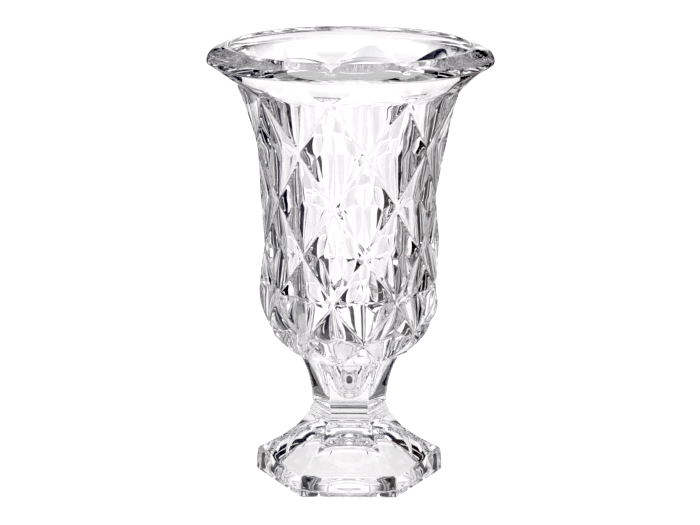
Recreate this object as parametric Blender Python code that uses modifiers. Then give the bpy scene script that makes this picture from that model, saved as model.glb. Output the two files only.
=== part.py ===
"""Footed cut crystal vase.

Two pieces of pressed glass stand on one another: a bowl, whose foot end is a hexagonal
stem, and a hexagonal foot. They are fused hot where the stem is thinnest, and here a
small gap stands for that joint.

The frame: +Z is the vase's axis, z = 0 is the plane it stands on, and +X runs through a
corner of the hexagonal foot. Everything is in metres.
"""

import math

import bmesh
import bpy
from mathutils import Vector

# ---------------------------------------------------------------- driving dimensions

HEIGHT = 0.305
LIP_RADIUS = 0.0976          # the outer edge of the lip
LIP_EDGE_Z = 0.294           # the height of that edge
CREST_RADIUS = 0.0835        # where the lip's top is highest
MOUTH_RADIUS = 0.0830        # the opening at the crest

COLUMNS = 9                  # diamonds around the bowl
STEM_SIDES = 6
ROUND_STEPS = 72             # flats in a full turn of a round surface

# Radius and height of the points where ridges meet, from the collar down to the stem.
RIDGE_ROWS = (
    (0.0774, 0.2764),
    (0.0666, 0.2400),
    (0.0620, 0.2042),
    (0.0618, 0.1697),
    (0.0627, 0.1379),
    (0.0565, 0.1089),
    (0.0389, 0.0887),
)
# How far the wall swells out, halfway between each row and the next.
SWELLS = (-0.0008, -0.0003, 0.0, 0.0003, 0.0034, 0.0036)
# How far each diamond's centre lies inside its row's ridge points; the first and the last row
# have no sunken centre, only the straight chord.
SINKS = (None, 0.0062, 0.0060, 0.0064, 0.0085, 0.0105, None)
FLARE_BEND = (0.0840, 0.2840)  # what the collar's outline bends towards, under the lip
CRESCENT_SLOPE = 1.45        # outward run of the facets under the collar, per unit of rise
COLLAR_RINGS = 5

JOINT_Z = 0.0518             # the plane where bowl and foot are fused
JOINT_GAP = 0.0003
WAIST_RADIUS = 0.0264        # to a corner of the hexagon
STEM_TOP_RADIUS = 0.0370
STEM_TOP_Z = 0.0877

FOOT_RADIUS = 0.0666         # to a corner of the hexagon
FOOT_RIM_Z = 0.0156          # height of the upright rim
FOOT_RIM_RADIUS = 0.0655     # to a corner, at the top of the rim
DOME_RADIUS = 0.0480         # the hollow under the foot, where it opens
DOME_HEIGHT = 0.0260
DOME_STEPS = 8
HOLLOW_OVERRUN = 0.004       # how far the cutter of the hollow reaches below the foot
EDGE_ROUNDING = 0.0009       # on the corners of stem and foot
SHARP_EDGE = math.radians(14)
BEVELLED_EDGE = math.radians(30)
WELD = 0.00001               # points closer than this are one

CRYSTAL_TINT = (0.94, 0.96, 0.97, 1.0)
CRYSTAL_IOR = 1.54
CRYSTAL_ROUGHNESS = 0.02

HALF_COLUMN = math.pi / COLUMNS
STEPS_PER_COLUMN = ROUND_STEPS // COLUMNS


# ------------------------------------------------------------------------- outlines

def on_bend(start, control, end, t):
    """The point at t, from 0 to 1, of a curve from start to end that bends towards control."""
    a, b, c = (1 - t) ** 2, 2 * t * (1 - t), t * t
    return tuple(a * p + b * q + c * r for p, q, r in zip(start, control, end))


def outline(start, *stretches):
    """An outline of (radius, height) points from stretches of (control, end, steps)."""
    points = [start]
    for control, end, steps in stretches:
        begin = points[-1]
        points += [on_bend(begin, control, end, (i + 1) / steps) for i in range(steps)]
    return points


def flare_point(t):
    """A point of the round collar under the lip: t = 0 at the top row of ridges, 1 at the edge."""
    return on_bend(RIDGE_ROWS[0], FLARE_BEND, (LIP_RADIUS, LIP_EDGE_Z), t)


LIP_OUTLINE = outline(
    (LIP_RADIUS, LIP_EDGE_Z),
    ((LIP_RADIUS, 0.2992), (0.0920, 0.3018), 4),
    ((0.0875, 0.3038), (CREST_RADIUS, HEIGHT), 3),
)
BOWL_STEM_OUTLINE = outline(
    (WAIST_RADIUS, JOINT_Z + JOINT_GAP / 2),
    ((WAIST_RADIUS, 0.0700), (STEM_TOP_RADIUS, STEM_TOP_Z), 9),
)
CAVITY_OUTLINE = outline(
    (MOUTH_RADIUS + 0.0016, HEIGHT + 0.0020),
    ((MOUTH_RADIUS, HEIGHT), (0.0805, 0.3000), 3),
    ((0.0745, 0.2880), (0.0665, 0.2720), 4),
    ((0.0565, 0.2500), (0.0520, 0.2150), 4),
    ((0.0515, 0.1800), (0.0515, 0.1400), 1),
    ((0.0505, 0.1100), (0.0270, 0.0890), 6),
    ((0.0171, 0.0802), (0.0130, 0.0680), 3),
    ((0.0090, 0.0562), (0.0000, 0.0562), 4),
)
FOOT_OUTLINE = outline(
    (0.0, JOINT_Z - JOINT_GAP / 2),
    ((0.0, JOINT_Z - JOINT_GAP / 2), (WAIST_RADIUS, JOINT_Z - JOINT_GAP / 2), 1),
    ((0.0285, 0.0330), (FOOT_RIM_RADIUS, FOOT_RIM_Z), 10),
    ((FOOT_RADIUS, 0.0), (FOOT_RADIUS, 0.0), 1),
    ((0.0, 0.0), (0.0, 0.0), 1),
)


# ------------------------------------------------------------------- scene and looks

def clear_scene():
    for thing in list(bpy.data.objects):
        bpy.data.objects.remove(thing, do_unlink=True)


def new_collection(name):
    group = bpy.data.collections.new(name)
    bpy.context.scene.collection.children.link(group)
    return group


def crystal(name):
    """Clear, faintly cool pressed glass with polished faces."""
    material = bpy.data.materials.new(name)
    material.use_nodes = True
    shader = material.node_tree.nodes["Principled BSDF"]
    shader.inputs["Base Color"].default_value = CRYSTAL_TINT
    shader.inputs["Roughness"].default_value = CRYSTAL_ROUGHNESS
    shader.inputs["Metallic"].default_value = 0.0
    shader.inputs["IOR"].default_value = CRYSTAL_IOR
    shader.inputs["Transmission Weight"].default_value = 1.0
    material.diffuse_color = CRYSTAL_TINT
    return material


# --------------------------------------------------------------------- shared shapes

def turned(name, points, steps, group):
    """A solid of revolution from an outline that runs down its outer side."""
    mesh = bpy.data.meshes.new(name)
    edges = [(i, i + 1) for i in range(len(points) - 1)]
    mesh.from_pydata([(r, 0.0, z) for r, z in points], edges, [])
    thing = bpy.data.objects.new(name, mesh)
    group.objects.link(thing)
    screw = thing.modifiers.new("turn", "SCREW")
    screw.axis = "Z"
    screw.steps = steps
    screw.render_steps = steps
    screw.use_merge_vertices = True
    screw.merge_threshold = WELD
    return thing


def cut(thing, cutter):
    """Take the cutter's solid out of a piece, and keep the cutter out of sight."""
    boolean = thing.modifiers.new("cut_" + cutter.name, "BOOLEAN")
    boolean.operation = "DIFFERENCE"
    boolean.solver = "EXACT"
    boolean.object = cutter
    cutter.hide_render = True
    cutter.display_type = "WIRE"


def round_corners(thing, limit):
    """Ease the long edges of a hexagonal piece; limit is ANGLE or WEIGHT."""
    bevel = thing.modifiers.new("eased_edges", "BEVEL")
    bevel.limit_method = limit
    bevel.angle_limit = BEVELLED_EDGE
    bevel.width = EDGE_ROUNDING
    bevel.segments = 2


def polar(radius, angle, z):
    return Vector((radius * math.cos(angle), radius * math.sin(angle), z))


def add_face(bm, points):
    bm.faces.new([bm.verts.new(p) for p in points])


def join_rings(bm, lower, upper):
    """Quads between two rings with the same number of points."""
    count = len(lower)
    for i in range(count):
        j = (i + 1) % count
        add_face(bm, (lower[i], lower[j], upper[j], upper[i]))


def join_unlike_rings(bm, lower, upper):
    """Triangles between two rings whose numbers of points differ, taken in order of angle."""
    def in_turn(ring):
        ring = sorted(ring, key=lambda p: math.atan2(p.y, p.x) % math.tau)
        angles = [math.atan2(p.y, p.x) % math.tau for p in ring]
        return ring + ring[:1], angles + [angles[0] + math.tau]

    low, low_angles = in_turn(lower)
    high, high_angles = in_turn(upper)
    i = j = 0
    while i < len(low) - 1 or j < len(high) - 1:
        next_low = low_angles[i + 1] if i < len(low) - 1 else math.inf
        next_high = high_angles[j + 1] if j < len(high) - 1 else math.inf
        if next_low <= next_high:
            add_face(bm, (low[i], low[i + 1], high[j]))
            i += 1
        else:
            add_face(bm, (low[i], high[j + 1], high[j]))
            j += 1


# ------------------------------------------------------------------------------ bowl

def row_angle(row, k):
    """Ridge points of odd rows stand over each other; those of even rows stand between them."""
    return (k + (0.5 if row % 2 == 0 else 0.0)) * 2 * HALF_COLUMN


def ridge_point(row, k):
    radius, z = RIDGE_ROWS[row]
    return polar(radius, row_angle(row, k), z)


def diamond_centre(row, k):
    """The sunken middle of a diamond; in the first and last rows it lies on the chord."""
    radius, z = RIDGE_ROWS[row]
    sink = SINKS[row]
    reach = radius * math.cos(HALF_COLUMN) if sink is None else radius - sink
    return polar(reach, row_angle(row, k) + HALF_COLUMN, z)


def swell(point):
    """Move a point of a flat facet out onto the curved wall; the rows stay where they are."""
    for (_, top), (_, bottom), reach in zip(RIDGE_ROWS, RIDGE_ROWS[1:], SWELLS):
        if bottom <= point.z <= top:
            share = (top - point.z) / (top - bottom)
            outward = Vector((point.x, point.y, 0.0)).normalized()
            return point + outward * 4 * reach * share * (1 - share)
    return point


def facet(bm, a, b, c):
    """One facet of a diamond, as four triangles that follow the wall's swell."""
    ab, bc, ca = (swell((p + q) / 2) for p, q in ((a, b), (b, c), (c, a)))
    for corners in ((a, ab, ca), (ab, b, bc), (ca, bc, c), (ab, bc, ca)):
        add_face(bm, corners)


def cut_diamonds(bm):
    """Each diamond is four facets that fall from its ridges to one sunken centre."""
    last = len(RIDGE_ROWS) - 1
    for row in range(len(RIDGE_ROWS)):
        for k in range(COLUMNS):
            left, right = ridge_point(row, k), ridge_point(row, k + 1)
            centre = diamond_centre(row, k)
            over = k + 1 if row % 2 == 0 else k
            if row > 0:
                top = ridge_point(row - 1, over)
                facet(bm, left, centre, top)
                facet(bm, centre, right, top)
            if row < last:
                bottom = ridge_point(row + 1, over)
                facet(bm, centre, bottom, right)
                facet(bm, left, bottom, centre)


def chord_points(row, k):
    """The points along a straight chord of the first or last row, without its far end."""
    left, right = ridge_point(row, k), ridge_point(row, k + 1)
    centre = diamond_centre(row, k)
    return [left, (left + centre) / 2, centre, (centre + right) / 2]


def arch_position(offset):
    """How far along the collar a crescent facet reaches, at an angle from its middle."""
    radius, base_z = RIDGE_ROWS[0]
    low, high = 0.0, 1.0
    for _ in range(40):
        t = (low + high) / 2
        r, z = flare_point(t)
        plane = radius * math.cos(HALF_COLUMN) + CRESCENT_SLOPE * (z - base_z)
        if plane / math.cos(offset) < r:
            low = t
        else:
            high = t
    return low


def crescents_and_collar(bm):
    """Flat crescents rise from the top chords to arches in the round collar."""
    reach = []
    for k in range(COLUMNS):
        arch = []
        for step in range(1, STEPS_PER_COLUMN):
            offset = (2 * step / STEPS_PER_COLUMN - 1) * HALF_COLUMN
            arch.append(arch_position(offset))
        reach += [0.0] + arch
        first = k * STEPS_PER_COLUMN
        crest = [collar_point(first + step, t) for step, t in enumerate(arch, 1)]
        add_face(bm, chord_points(0, k) + [ridge_point(0, k + 1)] + crest[::-1])
    for level in range(COLLAR_RINGS):
        near, far = level / COLLAR_RINGS, (level + 1) / COLLAR_RINGS
        lower = [collar_point(i, t + (1 - t) * near) for i, t in enumerate(reach)]
        upper = [collar_point(i, t + (1 - t) * far) for i, t in enumerate(reach)]
        join_rings(bm, lower, upper)


def collar_point(step, t):
    """A point of the collar, counted round from the first ridge point of the top row."""
    radius, z = flare_point(t)
    return polar(radius, row_angle(0, 0) + step * math.tau / ROUND_STEPS, z)


def lip(bm):
    """The rolled lip, closed over the top."""
    rings = [
        [polar(r, row_angle(0, 0) + i * math.tau / ROUND_STEPS, z) for i in range(ROUND_STEPS)]
        for r, z in LIP_OUTLINE
    ]
    for lower, upper in zip(rings, rings[1:]):
        join_rings(bm, lower, upper)
    add_face(bm, rings[-1])


def bowl_stem(bm):
    """The hexagonal upper stem, flaring into the underside of the bowl."""
    rings = [
        [polar(r, side * math.tau / STEM_SIDES, z) for side in range(STEM_SIDES)]
        for r, z in BOWL_STEM_OUTLINE
    ]
    for lower, upper in zip(rings, rings[1:]):
        join_rings(bm, lower, upper)
    add_face(bm, rings[0][::-1])
    last = len(RIDGE_ROWS) - 1
    bottom_row = [p for k in range(COLUMNS) for p in chord_points(last, k)]
    join_unlike_rings(bm, rings[-1], bottom_row)


def mark_stem_edges(bm):
    """Weigh the stem's six long edges, so that only they are eased."""
    weights = bm.edges.layers.float.new("bevel_weight_edge")
    for edge in bm.edges:
        low, high = sorted((v.co for v in edge.verts), key=lambda co: co.z)
        on_stem = high.z < STEM_TOP_Z + WELD and high.z - low.z > WELD
        if on_stem and at_corner(low) and at_corner(high) and low.xy.angle(high.xy) < HALF_COLUMN:
            edge[weights] = 1.0


def at_corner(point):
    """Whether a point lies on one of the six corner planes of the stem."""
    side = math.atan2(point.y, point.x) * STEM_SIDES / math.tau
    return abs(side - round(side)) < 0.001


def make_bowl(parts, cutters):
    """One loft from the hexagonal stem through the diamonds to the round lip, then hollowed."""
    bm = bmesh.new()
    cut_diamonds(bm)
    crescents_and_collar(bm)
    lip(bm)
    bowl_stem(bm)
    bmesh.ops.remove_doubles(bm, verts=bm.verts, dist=WELD)
    bmesh.ops.recalc_face_normals(bm, faces=bm.faces)
    mark_stem_edges(bm)
    mesh = bpy.data.meshes.new("bowl")
    bm.to_mesh(mesh)
    bm.free()
    bowl = bpy.data.objects.new("bowl", mesh)
    parts.objects.link(bowl)
    round_corners(bowl, "WEIGHT")
    cut(bowl, turned("bowl_cavity", CAVITY_OUTLINE, ROUND_STEPS, cutters))
    mesh.materials.append(crystal("bowl_crystal"))
    mesh.shade_smooth()
    mesh.set_sharp_from_angle(angle=SHARP_EDGE)
    return bowl


# ------------------------------------------------------------------------------ foot

def dome_outline():
    """The spherical hollow under the foot, carried a little below it for a clean cut."""
    sphere = (DOME_RADIUS ** 2 + DOME_HEIGHT ** 2) / (2 * DOME_HEIGHT)
    centre_z = DOME_HEIGHT - sphere
    widest = math.asin(DOME_RADIUS / sphere)
    arc = [
        (sphere * math.sin(widest * i / DOME_STEPS), centre_z + sphere * math.cos(widest * i / DOME_STEPS))
        for i in range(DOME_STEPS + 1)
    ]
    return arc + [(DOME_RADIUS, -HOLLOW_OVERRUN), (0.0, -HOLLOW_OVERRUN)]


def make_foot(parts, cutters):
    """A six-sided trumpet on an upright rim, hollow underneath."""
    foot = turned("foot", FOOT_OUTLINE, STEM_SIDES, parts)
    round_corners(foot, "ANGLE")
    cut(foot, turned("foot_hollow", dome_outline(), ROUND_STEPS, cutters))
    foot.data.materials.append(crystal("foot_crystal"))
    return foot


def build():
    clear_scene()
    parts = new_collection("cut_crystal_vase")
    cutters = new_collection("cutters")
    make_bowl(parts, cutters)
    make_foot(parts, cutters)


build()
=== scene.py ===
"""Looks of the cut crystal vase: a pressed bowl and foot in clear crystal, on a white floor."""

import math

import bmesh
import bpy
import numpy as np
from mathutils import Euler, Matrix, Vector, noise


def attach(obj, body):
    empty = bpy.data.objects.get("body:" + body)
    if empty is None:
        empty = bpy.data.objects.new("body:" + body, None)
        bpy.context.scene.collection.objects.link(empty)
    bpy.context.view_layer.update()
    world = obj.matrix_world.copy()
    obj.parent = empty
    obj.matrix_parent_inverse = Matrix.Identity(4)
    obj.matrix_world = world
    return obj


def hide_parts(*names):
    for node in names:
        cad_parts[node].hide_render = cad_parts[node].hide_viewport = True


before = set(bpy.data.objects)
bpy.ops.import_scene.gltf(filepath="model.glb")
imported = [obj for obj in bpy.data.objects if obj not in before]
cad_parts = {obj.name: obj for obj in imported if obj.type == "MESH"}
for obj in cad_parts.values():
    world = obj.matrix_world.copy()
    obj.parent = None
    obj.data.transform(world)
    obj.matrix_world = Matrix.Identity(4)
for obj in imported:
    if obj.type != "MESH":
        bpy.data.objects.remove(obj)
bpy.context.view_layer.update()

# ------------------------------------------------------------ sizes, in metres, as in the CAD
#
# A point of an outline is (radius, height). A row is a ring of nine ridge points.

COLUMNS = 9
STEM_SIDES = 6
HALF_COLUMN = math.pi / COLUMNS
HALF_SIDE = math.pi / STEM_SIDES

LIP_EDGE = (0.0976, 0.2940)
FLARE_BEND = (0.0840, 0.2840)
RIDGE_ROWS = (
    (0.0774, 0.2764),
    (0.0666, 0.2400),
    (0.0620, 0.2042),
    (0.0618, 0.1697),
    (0.0627, 0.1379),
    (0.0565, 0.1089),
    (0.0389, 0.0887),
)
LAST_ROW = len(RIDGE_ROWS) - 1
# How far the wall bulges past a straight line between each row and the next.
SWELLS = (-0.0008, -0.0003, 0.0, 0.0003, 0.0034, 0.0036)
# How far inside its row each diamond's centre lies. The first and last rows have flat chords.
SINKS = (None, 0.0062, 0.0060, 0.0064, 0.0085, 0.0105, None)
CRESCENT_SLOPE = 1.45

JOINT_Z = 0.0518
WAIST_RADIUS = 0.0264
STEM_BEND = (WAIST_RADIUS, 0.0700)
STEM_TOP = (0.0362, 0.0866)
DOME_RADIUS = 0.0480
DOME_HEIGHT = 0.0260

# Shallow rings around the neck, where the two hot pieces were pressed together: height, depth
# and half width.
NECK_RINGS = ((0.0500, 0.0009, 0.0012), (0.0465, 0.0006, 0.0005), (0.0432, 0.0008, 0.0012))

# --------------------------------------------------------------- fineness of the final meshes

FACET_STEPS = 20                     # along each edge of a facet
COLUMN_STEPS = 2 * FACET_STEPS       # around one column, in every ring of the bowl
FLARE_STEPS = 1000                   # of the round collar's outline, which is read between them
COLLAR_RINGS = 14
CRESCENT_RINGS = 8
SHOULDER_RINGS = 5                   # where the six-sided stem turns into the nine chords
SHOULDER_BULGE = 0.6                 # power by which those rings rise: under 1 is full
SIDE_STEPS = 40                      # along each side of the foot
CORNER_SHARES = (0.008, 0.016, 0.024, 0.034, 0.046, 0.06)   # finer steps beside its corners
SOLE_RINGS = 6
DOME_RINGS = 40
DOME_START = 0.985                   # share of the dome's arc that its rounded edge leaves

RIDGE_SMOOTHING = 2                  # passes that ease the ridges and creases
EASED_FROM = 0.0818                  # heights between which they do
EASED_TO = 0.2925
WALL_MARGIN = 0.0010                 # what is this close to the cavity's wall isn't moved
RIDGE_BEAD = 0.0003                  # height and half width of the bead along each ridge
RIDGE_WIDTH = 0.0013
BEAD_RUN_OUT = 0.0030                # height over which the beads end at the first and last row
STEM_ROUNDING = 0.0018               # of the stem's six corners
FOOT_ROUNDING = 0.0040               # of the foot's six corners at the floor
WAVE_LENGTH = 0.028                  # of the faint unevenness inside the bowl
WAVE_DEPTH = 0.00005
CALM_LIP = 0.03                      # height below the lip over which it fades out
CALM_MIDDLE = 0.02                   # radius within which it does
WELD = 0.000004
SLIVER_AREA = 1e-14

# ---------------------------------------------------------------------------------- glass

GLASS_IOR = 1.53
GLASS_TINT = (0.985, 0.970, 0.982)
RIPPLE_SCALE = 55.0
RIPPLE_TWIST = 0.3                   # each piece has its own twist, this much apart from the next
RIPPLE_TWIST_STEP = 0.1
RIPPLE_STRENGTH = 0.05
RIPPLE_HEIGHT = 0.0006

# ----------------------------------------------------------- the studio, and its camera
#
# Bearings are in degrees, from +Y behind the vase towards +X. What only the glass sees is the
# shades, lanes and flags: they have no shadow and the camera looks through them.

WHITE = (1.0, 1.0, 1.0)
BLACK = (0.0, 0.0, 0.0)
BLACK_POINT = 0.035
FLOOR_RADIUS = 9.0
FLOOR_SIDES = 96
FLOOR_COLOUR = (0.93, 0.93, 0.93)
FLOOR_GLOW = 0.66
FLOOR_Z = -0.0002
SHADE_Z = -0.0001
# Painted shade on the floor near the vase, and painted light under the foot: name, first and last
# bearing, inner and outer radius, level.
SHADES = (
    ("lit_under_foot", 0, 360, 0.0, 0.064, 0.93),
    ("shade_front", 70, 290, 0.0675, 0.20, 0.58),
    ("shade_close", -25, 25, 0.0675, 0.085, 0.02),
    ("shade_middle", -11, 11, 0.095, 0.125, 0.10),
    ("shade_behind", -25, 25, 0.125, 0.165, 0.02),
    ("shade_back_right", 25, 60, 0.14, 0.165, 0.15),
    ("shade_back_left", 300, 335, 0.14, 0.165, 0.15),
    ("shade_right", 20, 160, 0.20, 0.318, 0.02),
    ("shade_left", 200, 340, 0.20, 0.318, 0.02),
)
SHADE_STEPS = 48
# Three lanes of painted light on the floor, the middle one dimmer as painted shade, run out side by
# side
# towards each of four bearings: first and last bearing, level.
LANE_BEARINGS = (0, 90, 180, 270)
PAINTED_LANES = ((-22, -7, 1.15), (-7, 7, 1.00), (7, 22, 1.15))
LANE_REACH = (0.20, 3.0)
# Upright dark screens around the vase: name, first and last bearing, colour.
FLAGS = (
    ("flag_back_right", 27, 82, (0.020, 0.013, 0.012)),
    ("flag_front_right", 104, 160, (0.010, 0.010, 0.020)),
    ("flag_front_left", 200, 256, (0.020, 0.013, 0.012)),
    ("flag_back_left", 278, 333, (0.010, 0.010, 0.024)),
)
FLAG_DISTANCE = 0.32
FLAG_HEIGHT = 0.46
SLATS = 3
SLAT_GAP = 2.5
SLAT_STEPS = 10
# The sky's light by elevation in degrees.
SKY = (
    (0, (0.92, 0.92, 0.92)),
    (9, (1.00, 1.00, 1.00)),
    (13, (1.30, 1.30, 1.30)),
    (20, (1.20, 1.20, 1.20)),
    (30, (0.02, 0.02, 0.04)),
    (45, (0.02, 0.02, 0.04)),
    (49, (1.25, 1.26, 1.30)),
    (90, (1.50, 1.50, 1.52)),
)

SENSOR_WIDTH = 36.0
LENS = 105.43
CAMERA_BEARING = 0.3
CAMERA_DISTANCE = 1.3772
CAMERA_HEIGHT = 0.5182
CAMERA_PITCH = 14.9
CAMERA_ROLL = -0.2
CAMERA_ASIDE = 0.048

GLASS_BOUNCES = 24
GLOSSY_BOUNCES = 12


# ------------------------------------------------------------------------------- outlines

def bezier(start, control, end, steps):
    """Points of a curved stretch of an outline, without its first point."""
    points = []
    for i in range(1, steps + 1):
        t = i / steps
        a, b, c = (1 - t) ** 2, 2 * t * (1 - t), t * t
        points.append(tuple(a * p + b * q + c * r for p, q, r in zip(start, control, end)))
    return points


def outline(start, *stretches):
    """An outline of (radius, height) points from stretches of (control, end, steps)."""
    points = [start]
    for control, end, steps in stretches:
        points += bezier(points[-1], control, end, steps)
    return points


FLARE = outline(RIDGE_ROWS[0], (FLARE_BEND, LIP_EDGE, FLARE_STEPS))
LIP = outline(
    LIP_EDGE,
    ((0.0976, 0.2992), (0.0920, 0.3018), 9),
    ((0.0880, 0.3036), (0.0846, 0.3048), 4),
    ((0.0834, 0.3052), (0.0826, 0.3042), 4),
    ((0.0820, 0.3030), (0.0805, 0.3000), 3),
)
CAVITY = outline(
    LIP[-1],
    ((0.0745, 0.2880), (0.0665, 0.2720), 8),
    ((0.0565, 0.2500), (0.0520, 0.2150), 9),
    ((0.0513, 0.2100), (0.0515, 0.1400), 9),
    ((0.0505, 0.1100), (0.0270, 0.0890), 14),
    ((0.0171, 0.0802), (0.0130, 0.0680), 6),
    ((0.0090, 0.0562), (0.0004, 0.0562), 7),
)
STEM = outline((WAIST_RADIUS, JOINT_Z), (STEM_BEND, STEM_TOP, 48))
FOOT_SIDE = outline(
    (WAIST_RADIUS, JOINT_Z),
    ((0.0285, 0.0330), (0.0633, 0.0167), 90),
    ((0.0655, 0.0156), (0.0657, 0.0134), 7),
    ((0.0666, 0.0060), (0.0666, 0.0012), 8),
    ((0.0666, 0.0), (0.0653, 0.0), 5),
)
DOME_EDGE = outline(
    (DOME_RADIUS + 0.0012, 0.0),
    ((DOME_RADIUS, 0.0), (DOME_RADIUS - 0.0006, 0.0011), 4),
)


# ----------------------------------------------------------------- points of the cut pattern

def polar(radius, angle, z):
    return Vector((radius * math.cos(angle), radius * math.sin(angle), z))


def outward(point):
    """The level direction away from the vase's axis."""
    return Vector((point.x, point.y, 0.0)).normalized()


def row_angle(row, k):
    """The angle of a row's ridge point; every other row is turned by half a column."""
    return (k + (0.5 if row % 2 == 0 else 0.0)) * 2 * HALF_COLUMN


def ridge_point(row, k):
    radius, z = RIDGE_ROWS[row]
    return polar(radius, row_angle(row, k), z)


def diamond_centre(row, k):
    radius, z = RIDGE_ROWS[row]
    reach = radius - SINKS[row] if 0 < row < LAST_ROW else radius * math.cos(HALF_COLUMN)
    return polar(reach, row_angle(row, k) + HALF_COLUMN, z)


def swell(point):
    """Move a point of a flat facet out onto the curved wall; the rows stay where they are."""
    for (_, top), (_, bottom), reach in zip(RIDGE_ROWS, RIDGE_ROWS[1:], SWELLS):
        if bottom <= point.z <= top:
            share = (top - point.z) / (top - bottom)
            return point + outward(point) * 4 * reach * share * (1 - share)
    return point


def bead_share(z):
    """The beads run out at the first and the last row, where the pattern meets plain glass."""
    inset = min(RIDGE_ROWS[0][1] - z, z - RIDGE_ROWS[LAST_ROW][1])
    return min(1.0, max(0.0, inset / BEAD_RUN_OUT))


# ---------------------------------------------------------------------------- mesh building

def add_object(name, mesh):
    thing = bpy.data.objects.new(name, mesh)
    bpy.context.scene.collection.objects.link(thing)
    return thing


class Skin:
    """Faces gathered one area at a time, and welded into one closed mesh at the end."""

    def __init__(self):
        self.bm = bmesh.new()

    def facet(self, a, b, c, centre, half_width):
        """A triangular facet as a fine grid of triangles, with a low bead along its ridge.

        The ridge is the edge opposite the diamond's centre, which is corner 0, 1 or 2.
        """
        bm = self.bm
        n = FACET_STEPS
        made = []
        for j in range(n + 1):
            row = []
            for i in range(n + 1 - j):
                share = ((n - i - j) / n, i / n, j / n)[centre]
                point = swell(a + (b - a) * (i / n) + (c - a) * (j / n))
                rise = RIDGE_BEAD * math.exp(-(share * half_width / RIDGE_WIDTH) ** 2)
                row.append(bm.verts.new(point + outward(point) * rise * bead_share(point.z)))
            made.append(row)
        for j in range(n):
            for i in range(n - j):
                bm.faces.new((made[j][i], made[j][i + 1], made[j + 1][i])).smooth = True
                if i < n - j - 1:
                    bm.faces.new((made[j][i + 1], made[j + 1][i + 1], made[j + 1][i])).smooth = True

    def rings(self, rings):
        """Quads between rings that all have the same number of points."""
        bm = self.bm
        made = [[bm.verts.new(p) for p in ring] for ring in rings]
        for lower, upper in zip(made, made[1:]):
            for i in range(len(lower)):
                j = (i + 1) % len(lower)
                bm.faces.new((lower[i], lower[j], upper[j], upper[i])).smooth = True

    def fan(self, ring, height, fused=False):
        """Close a ring with triangles to a point on the axis; a fused face is flat."""
        bm = self.bm
        middle = bm.verts.new((0.0, 0.0, height))
        made = [bm.verts.new(p) for p in ring]
        for i in range(len(ring)):
            face = bm.faces.new((made[i], made[(i + 1) % len(ring)], middle))
            face.material_index = 1 if fused else 0
            face.smooth = not fused

    def finish(self, name, materials):
        bm = self.bm
        bmesh.ops.remove_doubles(bm, verts=bm.verts, dist=WELD)
        slivers = [f for f in bm.faces if f.calc_area() < SLIVER_AREA]
        bmesh.ops.delete(bm, geom=slivers, context="FACES")
        bmesh.ops.recalc_face_normals(bm, faces=bm.faces)
        mesh = bpy.data.meshes.new(name)
        bm.to_mesh(mesh)
        bm.free()
        for material in materials:
            mesh.materials.append(material)
        return add_object(name, mesh)


def ease(thing):
    """Round the ridges of the cut pattern: each point moves halfway to its neighbours' mean."""
    mesh = thing.data
    count = len(mesh.vertices)
    co = np.empty(count * 3)
    mesh.vertices.foreach_get("co", co)
    co = co.reshape(-1, 3)
    edges = np.empty(len(mesh.edges) * 2, dtype=np.int64)
    mesh.edges.foreach_get("vertices", edges)
    a, b = edges.reshape(-1, 2).T
    links = np.bincount(a, minlength=count) + np.bincount(b, minlength=count)
    radius = np.hypot(co[:, 0], co[:, 1])
    wall_radii, wall_heights = zip(*reversed(CAVITY))
    inside = np.interp(co[:, 2], wall_heights, wall_radii)
    moving = (co[:, 2] > EASED_FROM) & (co[:, 2] < EASED_TO) & (radius > inside + WALL_MARGIN)
    for _ in range(RIDGE_SMOOTHING):
        total = np.zeros_like(co)
        for axis in range(3):
            total[:, axis] = np.bincount(a, co[b, axis], count) + np.bincount(b, co[a, axis], count)
        co[moving] += 0.5 * (total[moving] / links[moving, None] - co[moving])
    mesh.vertices.foreach_set("co", co.ravel())
    mesh.update()


# ------------------------------------------------------------------------------ the bowl

def cut_diamonds(skin):
    for row in range(len(RIDGE_ROWS)):
        for k in range(COLUMNS):
            left, right = ridge_point(row, k), ridge_point(row, k + 1)
            centre = diamond_centre(row, k)
            half_width = (right - left).length / 2
            over = k + 1 if row % 2 == 0 else k
            if row > 0:
                top = ridge_point(row - 1, over)
                skin.facet(left, centre, top, 1, half_width)
                skin.facet(centre, right, top, 0, half_width)
            if row < LAST_ROW:
                bottom = ridge_point(row + 1, over)
                skin.facet(centre, bottom, right, 0, half_width)
                skin.facet(left, bottom, centre, 2, half_width)


def chord_offset(i):
    """Angle from a column's middle of the point i steps along its straight chord."""
    return math.atan((i / FACET_STEPS - 1) * math.tan(HALF_COLUMN))


def ring_angles():
    """The angles of every ring of the bowl: those of the points along the nine chords."""
    return [
        row_angle(0, k) + HALF_COLUMN + chord_offset(i)
        for k in range(COLUMNS) for i in range(COLUMN_STEPS)
    ]


def nonagon(row):
    """The straight chords of a row, as a ring."""
    radius, z = RIDGE_ROWS[row]
    reach = radius * math.cos(HALF_COLUMN)
    return [
        polar(reach / math.cos(chord_offset(i % COLUMN_STEPS)), angle, z)
        for i, angle in enumerate(ring_angles())
    ]


def arch_reach(offset):
    """How far along the collar a crescent facet reaches, at an angle from its middle."""
    radius, base_z = RIDGE_ROWS[0]
    for step in range(FLARE_STEPS):
        r, z = FLARE[step]
        plane = radius * math.cos(HALF_COLUMN) + CRESCENT_SLOPE * (z - base_z)
        if plane / math.cos(offset) >= r:
            break
    return step / FLARE_STEPS


def collar_ring(reach, share):
    """A ring of the collar, at a share of the way from the arches to the lip's edge."""
    ring = []
    for angle, t in zip(ring_angles(), reach):
        s = (t + (1 - t) * share) * FLARE_STEPS
        low = min(int(s), FLARE_STEPS - 1)
        mix = s - low
        r, z = (p * (1 - mix) + q * mix for p, q in zip(FLARE[low], FLARE[low + 1]))
        ring.append(polar(r, angle, z))
    return ring


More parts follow.
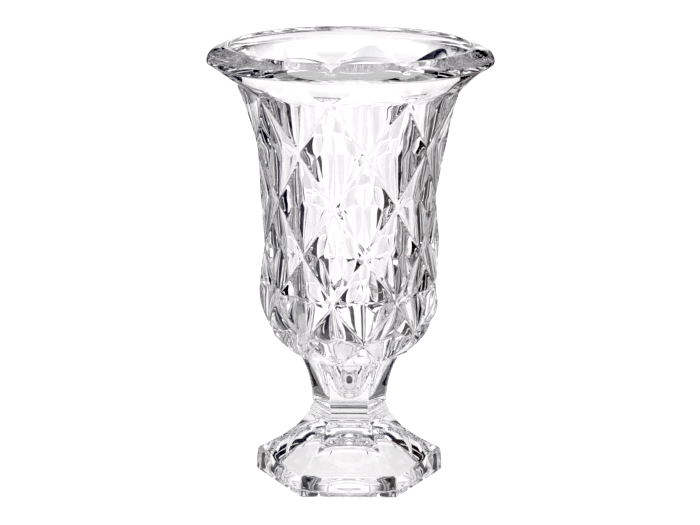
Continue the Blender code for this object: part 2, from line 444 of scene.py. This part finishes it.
def crescents_and_collar(skin):
    """Flat crescents rise from the top chords to arches in the round collar."""
    reach = ([0.0] + [arch_reach(chord_offset(i)) for i in range(1, COLUMN_STEPS)]) * COLUMNS
    edges = list(zip(nonagon(0), collar_ring(reach, 0.0)))
    skin.rings([
        [chord.lerp(arch, level / CRESCENT_RINGS) for chord, arch in edges]
        for level in range(CRESCENT_RINGS + 1)
    ])
    skin.rings([collar_ring(reach, level / COLLAR_RINGS) for level in range(COLLAR_RINGS + 1)])


def lip_and_cavity(skin):
    """The rolled lip and the smooth inside, faintly uneven as a plunger leaves it."""
    rings = []
    for r, z in LIP + CAVITY[1:]:
        calm = min(1.0, max(0.0, (LIP_EDGE[1] - z) / CALM_LIP)) * min(1.0, r / CALM_MIDDLE)
        ring = []
        for angle in ring_angles():
            wave = noise.noise(polar(r, angle, z) / WAVE_LENGTH) * WAVE_DEPTH * calm
            ring.append(polar(r + wave, angle, z))
        rings.append(ring)
    skin.rings(rings)
    skin.fan(rings[-1], CAVITY[-1][1])


def neck(points):
    """Press the rings of the fused joint into an outline of the stem."""
    pressed = []
    for r, z in points:
        for middle, depth, spread in NECK_RINGS:
            r -= depth * math.exp(-((z - middle) / spread) ** 2)
        pressed.append((r, z))
    return pressed


def hexagon_ring(radius, z, angles, rounding):
    """A hexagon with rounded corners; the radius is to its sharp corner."""
    flat = radius * math.cos(HALF_SIDE)
    ball = (flat - rounding) / math.cos(HALF_SIDE)
    start = math.atan2(ball * math.sin(HALF_SIDE), flat)
    ring = []
    for angle in angles:
        offset = abs(angle % (2 * HALF_SIDE) - HALF_SIDE)
        if offset <= start:
            reach = flat / math.cos(offset)
        else:
            gap = HALF_SIDE - offset
            reach = ball * math.cos(gap) + math.sqrt(rounding ** 2 - (ball * math.sin(gap)) ** 2)
        ring.append(polar(reach, angle, z))
    return ring


def bowl_stem(skin):
    """The upper stem: a waisted hexagon that fans out under the bowl's nine bottom chords."""
    angles = ring_angles()
    rings = [hexagon_ring(r, z, angles, STEM_ROUNDING) for r, z in neck(STEM)]
    edges = list(zip(rings[-1], nonagon(LAST_ROW)))
    for i in range(1, SHOULDER_RINGS + 1):
        share = i / SHOULDER_RINGS
        ring = []
        for p, q in edges:
            mixed = p.lerp(q, share)
            mixed.z = p.z + (q.z - p.z) * share ** SHOULDER_BULGE
            ring.append(mixed)
        rings.append(ring)
    skin.rings(rings)
    skin.fan(rings[0][::-1], JOINT_Z, fused=True)


def make_bowl(glass, fused):
    skin = Skin()
    cut_diamonds(skin)
    crescents_and_collar(skin)
    lip_and_cavity(skin)
    bowl_stem(skin)
    bowl = skin.finish("crystal_bowl", [glass, fused])
    ease(bowl)
    return bowl


# ------------------------------------------------------------------------------ the foot

def foot_angles():
    """Evenly spaced, with extra points at the six rounded corners."""
    near = CORNER_SHARES[-1]
    shares = [0.0, *CORNER_SHARES]
    shares += [near + (1 - 2 * near) * i / SIDE_STEPS for i in range(1, SIDE_STEPS)]
    shares += [1 - share for share in reversed(CORNER_SHARES)]
    return [(side + share) * 2 * HALF_SIDE for side in range(STEM_SIDES) for share in shares]


def foot_dome():
    """The outline of the hollow underneath: a rounded edge and a cap of a sphere."""
    ball = (DOME_RADIUS ** 2 + DOME_HEIGHT ** 2) / (2 * DOME_HEIGHT)
    widest = math.asin(DOME_RADIUS / ball)
    dome = DOME_EDGE[1:]
    for i in range(1, DOME_RINGS):
        turn = widest * DOME_START * (1 - i / DOME_RINGS)
        dome.append((ball * math.sin(turn), DOME_HEIGHT - ball + ball * math.cos(turn)))
    return dome


def make_foot(glass, fused):
    skin = Skin()
    angles = foot_angles()
    rings = []
    for r, z in neck(FOOT_SIDE):
        rounding = STEM_ROUNDING + (FOOT_ROUNDING - STEM_ROUNDING) * (1 - z / JOINT_Z)
        rings.append(hexagon_ring(r, z, angles, rounding))
    sole = list(zip(rings[-1], [polar(DOME_EDGE[0][0], angle, 0.0) for angle in angles]))
    rings += [[p.lerp(q, i / SOLE_RINGS) for p, q in sole] for i in range(1, SOLE_RINGS + 1)]
    rings += [[polar(r, angle, z) for angle in angles] for r, z in foot_dome()]
    skin.rings(rings)
    skin.fan(rings[-1], DOME_HEIGHT)
    skin.fan(rings[0][::-1], JOINT_Z, fused=True)
    return skin.finish("crystal_foot", [glass, fused])


# ------------------------------------------------------------------------------ materials

def crystal(name, number):
    """Clear crystal: polished, with the faint unevenness of pressed glass."""
    material = bpy.data.materials.new(name)
    material.use_nodes = True
    tree = material.node_tree
    shader = tree.nodes["Principled BSDF"]
    shader.inputs["Base Color"].default_value = (*GLASS_TINT, 1.0)
    shader.inputs["Roughness"].default_value = 0.0
    shader.inputs["IOR"].default_value = GLASS_IOR
    shader.inputs["Transmission Weight"].default_value = 1.0
    place = tree.nodes.new("ShaderNodeTexCoord")
    ripple = tree.nodes.new("ShaderNodeTexNoise")
    ripple.inputs["Scale"].default_value = RIPPLE_SCALE
    ripple.inputs["Detail"].default_value = 1.0
    ripple.inputs["Distortion"].default_value = RIPPLE_TWIST + RIPPLE_TWIST_STEP * number
    bump = tree.nodes.new("ShaderNodeBump")
    bump.inputs["Strength"].default_value = RIPPLE_STRENGTH
    bump.inputs["Distance"].default_value = RIPPLE_HEIGHT
    tree.links.new(place.outputs["Object"], ripple.inputs["Vector"])
    tree.links.new(ripple.outputs["Fac"], bump.inputs["Height"])
    tree.links.new(bump.outputs["Normal"], shader.inputs["Normal"])
    return material


def fused_joint(name):
    """The plane where the two pieces are fused: light passes as through one glass."""
    material = bpy.data.materials.new(name)
    material.use_nodes = True
    tree = material.node_tree
    tree.nodes.remove(tree.nodes["Principled BSDF"])
    clear = tree.nodes.new("ShaderNodeBsdfTransparent")
    tree.links.new(clear.outputs["BSDF"], tree.nodes["Material Output"].inputs["Surface"])
    return material


def matt(name, colour, light=BLACK, glow=0.0):
    material = bpy.data.materials.new(name)
    material.use_nodes = True
    shader = material.node_tree.nodes["Principled BSDF"]
    shader.inputs["Base Color"].default_value = (*colour, 1.0)
    shader.inputs["Roughness"].default_value = 0.9
    shader.inputs["Specular IOR Level"].default_value = 0.0
    shader.inputs["Emission Color"].default_value = (*light, 1.0)
    shader.inputs["Emission Strength"].default_value = glow
    return material


# --------------------------------------------------------------------------------- studio

def stage_floor():
    mesh = bpy.data.meshes.new("floor")
    bm = bmesh.new()
    bmesh.ops.create_circle(bm, cap_ends=True, segments=FLOOR_SIDES, radius=FLOOR_RADIUS)
    bm.to_mesh(mesh)
    bm.free()
    mesh.materials.append(matt("white_floor", FLOOR_COLOUR, FLOOR_COLOUR, FLOOR_GLOW))
    floor = add_object("floor", mesh)
    floor.location.z = FLOOR_Z


def toward(bearing, distance, z=0.0):
    """A point at a bearing from the vase."""
    turn = math.radians(bearing)
    return Vector((distance * math.sin(turn), distance * math.cos(turn), z))


def stage_band(name, pairs, material):
    """A band of quads between pairs of points, which shows only through the glass and on it."""
    points = [point for pair in pairs for point in pair]
    faces = [(i, i + 1, i + 3, i + 2) for i in range(0, len(points) - 2, 2)]
    mesh = bpy.data.meshes.new(name)
    mesh.from_pydata(points, [], faces)
    mesh.materials.append(material)
    band = add_object(name, mesh)
    band.visible_camera = False
    band.visible_shadow = False
    band.visible_diffuse = False


def stage_shade(name, start, end, inner, outer, level):
    """A stretch of floor with painted shade where it is dimmer and painted light where it is
    brighter.
    """
    bearings = [start + (end - start) * i / SHADE_STEPS for i in range(SHADE_STEPS + 1)]
    pairs = [(toward(b, inner, SHADE_Z), toward(b, outer, SHADE_Z)) for b in bearings]
    stage_band(name, pairs, matt(name, BLACK, WHITE, level))


def stage_flag(name, start, end, colour):
    """A curved dark screen of a few upright slats."""
    dark = matt(name, colour)
    pitch = (end - start + SLAT_GAP) / SLATS
    for slat in range(SLATS):
        first = start + slat * pitch
        bearings = [first + (pitch - SLAT_GAP) * i / SLAT_STEPS for i in range(SLAT_STEPS + 1)]
        pairs = [(toward(b, FLAG_DISTANCE), toward(b, FLAG_DISTANCE, FLAG_HEIGHT)) for b in bearings]
        stage_band(f"{name}_{slat}", pairs, dark)


def sky():
    """A bright cove up to 20 degrees, a dark belt above it and a broad lamp overhead."""
    world = bpy.data.worlds.new("studio")
    bpy.context.scene.world = world
    world.use_nodes = True
    tree = world.node_tree
    place = tree.nodes.new("ShaderNodeTexCoord")
    parts = tree.nodes.new("ShaderNodeSeparateXYZ")
    ramp = tree.nodes.new("ShaderNodeValToRGB")
    tree.links.new(place.outputs["Generated"], parts.inputs["Vector"])
    tree.links.new(parts.outputs["Z"], ramp.inputs["Fac"])
    tree.links.new(ramp.outputs["Color"], tree.nodes["Background"].inputs["Color"])
    stops = ramp.color_ramp.elements
    while len(stops) < len(SKY):
        stops.new(1.0)
    for stop, (elevation, colour) in zip(stops, SKY):
        stop.position = math.sin(math.radians(elevation))
        stop.color = (*colour, 1.0)


def studio():
    sky()
    stage_floor()
    for shade in SHADES:
        stage_shade(*shade)
    for bearing in LANE_BEARINGS:
        # Painted light and shade in lanes on the floor.
        for start, end, level in PAINTED_LANES:
            stage_shade(f"lane_{bearing}_{start}", bearing + start, bearing + end, *LANE_REACH, level)
    for flag in FLAGS:
        stage_flag(*flag)


def camera():
    data = bpy.data.cameras.new("camera")
    data.sensor_width = SENSOR_WIDTH
    data.lens = LENS
    view = add_object("camera", data)
    view.location = toward(180 - CAMERA_BEARING, CAMERA_DISTANCE, CAMERA_HEIGHT)
    turns = (90 - CAMERA_PITCH, CAMERA_ROLL, CAMERA_BEARING + CAMERA_ASIDE)
    view.rotation_euler = Euler([math.radians(turn) for turn in turns])
    bpy.context.scene.camera = view


# ---------------------------------------------------------------------------------- scene

camera()
studio()
fused = fused_joint("fused_joint")
bowl = make_bowl(crystal("bowl_glass", 0), fused)
foot = make_foot(crystal("foot_glass", 1), fused)

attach(bowl, "root")
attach(foot, "root")
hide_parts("bowl")
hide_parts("foot")

look = bpy.context.scene
look.view_settings.view_transform = "Standard"
look.view_settings.use_curve_mapping = True
look.view_settings.curve_mapping.black_level = (BLACK_POINT,) * 3
look.view_settings.curve_mapping.update()
look.cycles.max_bounces = GLASS_BOUNCES
look.cycles.transmission_bounces = GLASS_BOUNCES
look.cycles.glossy_bounces = GLOSSY_BOUNCES
look.cycles.transparent_max_bounces = GLASS_BOUNCES
